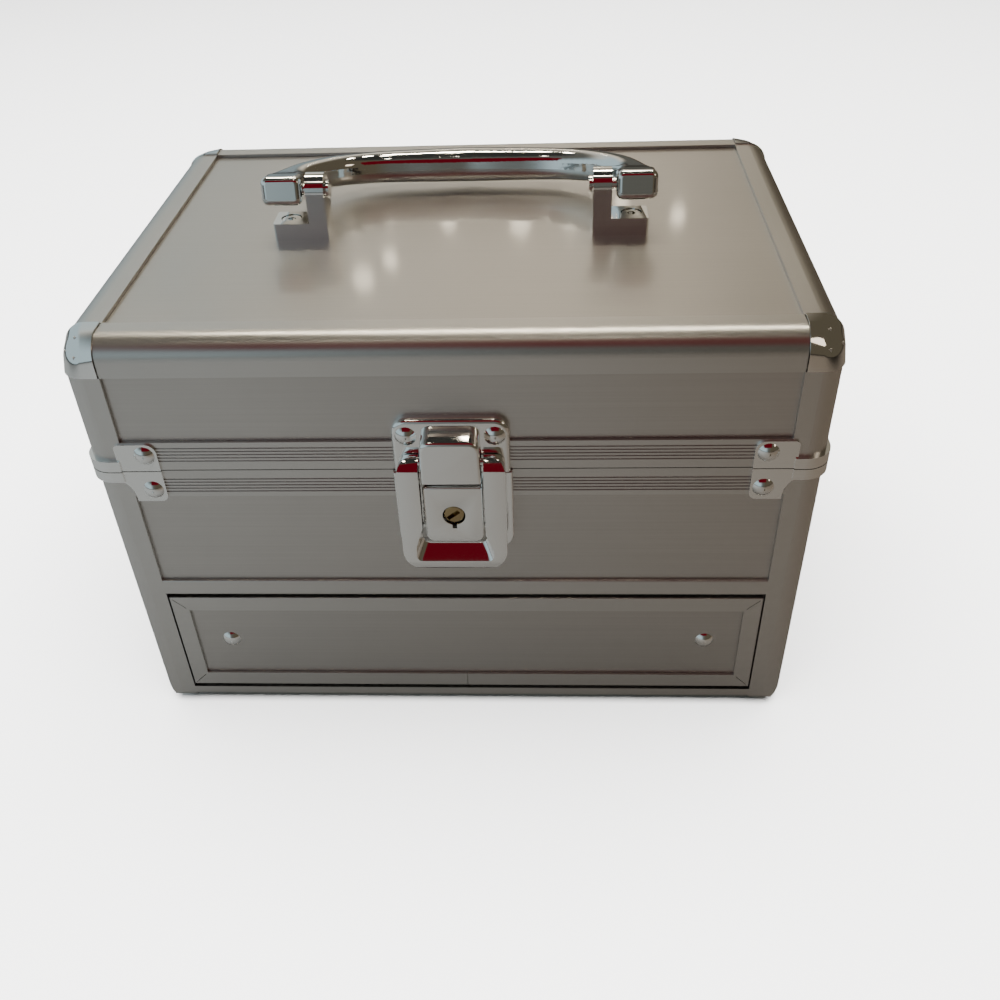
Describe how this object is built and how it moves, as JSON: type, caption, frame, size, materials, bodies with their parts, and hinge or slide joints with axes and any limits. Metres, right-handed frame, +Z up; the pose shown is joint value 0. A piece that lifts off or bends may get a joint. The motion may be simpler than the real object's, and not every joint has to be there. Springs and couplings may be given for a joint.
{
  "type": "makeup storage case",
  "caption": "Small aluminium-edged beauty case with a hinged lid, folding handle, bottom drawer, ring latch with key lock and folding lid stays",
  "frame": {"origin": "on the floor under the middle of the outer bounding box", "axes": "+X to the right seen from the front, +Y to the back, +Z up"},
  "size_m": [0.25, 0.195, 0.1835],
  "materials": {
    "edge_profile": "satin anodised",
    "faced_board": "brushed silver laminate on thin board",
    "black_board": "black faced board",
    "lining": "short pile",
    "runner_plastic": "moulded",
    "foot_rubber": "matt",
    "steel": "zinc plated",
    "lock_brass": "machined",
    "chrome_plate": "mirror"
  },
  "bodies": {
    "case": {"side_frame_left": "edge_profile", "side_frame_right": "edge_profile", "bottom_front_rail": "edge_profile", "bottom_back_rail": "edge_profile", "base_panel": "black_board", "side_panels": "faced_board", "back_panel": "faced_board", "shelf_front_rail": "edge_profile", "front_panel": "faced_board", "divider_shelf": "black_board", "compartment_lining": "lining", "lower_rim": "edge_profile", "lower_clasps": "chrome_plate", "case_rivets": "chrome_plate", "hinge_lower_leaves": "chrome_plate", "hinge_pins": "steel", "feet": "foot_rubber", "foot_screws": "steel", "drawer_guides": "runner_plastic", "drawer_stop": "black_board", "latch_base_plate": "chrome_plate", "lock_body": "chrome_plate", "stay_lower_posts": "steel"},
    "lock": {"lock_cylinder": "lock_brass"},
    "drawer": {"drawer_front_trim": "edge_profile", "drawer_front_panel": "faced_board", "drawer_front_wall": "black_board", "drawer_sides": "black_board", "drawer_runners": "runner_plastic", "drawer_floor": "black_board", "drawer_back_wall": "black_board", "drawer_lining": "lining", "drawer_rivets": "chrome_plate"},
    "lid": {"lid_top_panel": "faced_board", "lid_front_panel": "faced_board", "lid_back_panel": "faced_board", "lid_side_panels": "faced_board", "lid_long_profiles": "edge_profile", "lid_side_profiles": "edge_profile", "lid_corner_posts": "edge_profile", "lid_corner_caps": "chrome_plate", "upper_rim": "edge_profile", "upper_clasps": "chrome_plate", "lid_rivets": "chrome_plate", "hinge_upper_leaves": "chrome_plate", "latch_keeper": "chrome_plate", "handle_brackets": "chrome_plate", "bracket_bolts": "chrome_plate", "bracket_nuts": "steel", "lid_lining": "lining", "stay_upper_posts": "steel"},
    "ring": {"latch_ring": "chrome_plate", "latch_pin": "chrome_plate"},
    "handle": {"handle": "chrome_plate", "handle_pins": "chrome_plate"},
    "lower_link_left": {"stay_lower_link_left": "steel"},
    "lower_link_right": {"stay_lower_link_right": "steel"},
    "upper_link_left": {"stay_upper_link_left": "steel"},
    "upper_link_right": {"stay_upper_link_right": "steel"}
  },
  "joints": [
    {"name": "lid_hinge", "type": "hinge", "parent": "case", "child": "lid", "pos_m": [0, 0.0948, 0.1145], "axis": [-1, 0, 0], "range_deg": [0, 100]},
    {"name": "drawer_slide", "type": "slide", "parent": "case", "child": "drawer", "axis": [0, -1, 0], "range_m": [0, 0.13]},
    {"name": "ring_hinge", "type": "hinge", "parent": "lid", "child": "ring", "pos_m": [0, -0.0906, 0.1203], "axis": [-1, 0, 0], "range_deg": [0, 100]},
    {"name": "lock_turn", "type": "hinge", "parent": "case", "child": "lock", "pos_m": [0, -0.0927, 0.0999], "axis": [0, -1, 0], "range_deg": [0, 90]},
    {"name": "handle_hinge", "type": "hinge", "parent": "lid", "child": "handle", "pos_m": [0, -0.0034, 0.1778], "axis": [1, 0, 0], "range_deg": [0, 200]},
    {"name": "lower_link_left_pivot", "type": "hinge", "parent": "case", "child": "lower_link_left", "pos_m": [0, 0.02661, 0.0987], "axis": [-1, 0, 0], "range_deg": [0, 100]},
    {"name": "upper_link_left_pivot", "type": "hinge", "parent": "lid", "child": "upper_link_left", "pos_m": [0, 0.02661, 0.1303], "axis": [-1, 0, 0], "range_deg": [-100, 0]},
    {"name": "lower_link_right_pivot", "type": "hinge", "parent": "case", "child": "lower_link_right", "pos_m": [0, 0.02661, 0.0987], "axis": [-1, 0, 0], "range_deg": [0, 100]},
    {"name": "upper_link_right_pivot", "type": "hinge", "parent": "lid", "child": "upper_link_right", "pos_m": [0, 0.02661, 0.1303], "axis": [-1, 0, 0], "range_deg": [-100, 0]}
  ],
  "couplings": [
    {"joint": "lower_link_left_pivot", "follows": "lid_hinge", "ratio": 1},
    {"joint": "upper_link_left_pivot", "follows": "lid_hinge", "ratio": -1},
    {"joint": "lower_link_right_pivot", "follows": "lid_hinge", "ratio": 1},
    {"joint": "upper_link_right_pivot", "follows": "lid_hinge", "ratio": -1}
  ]
}
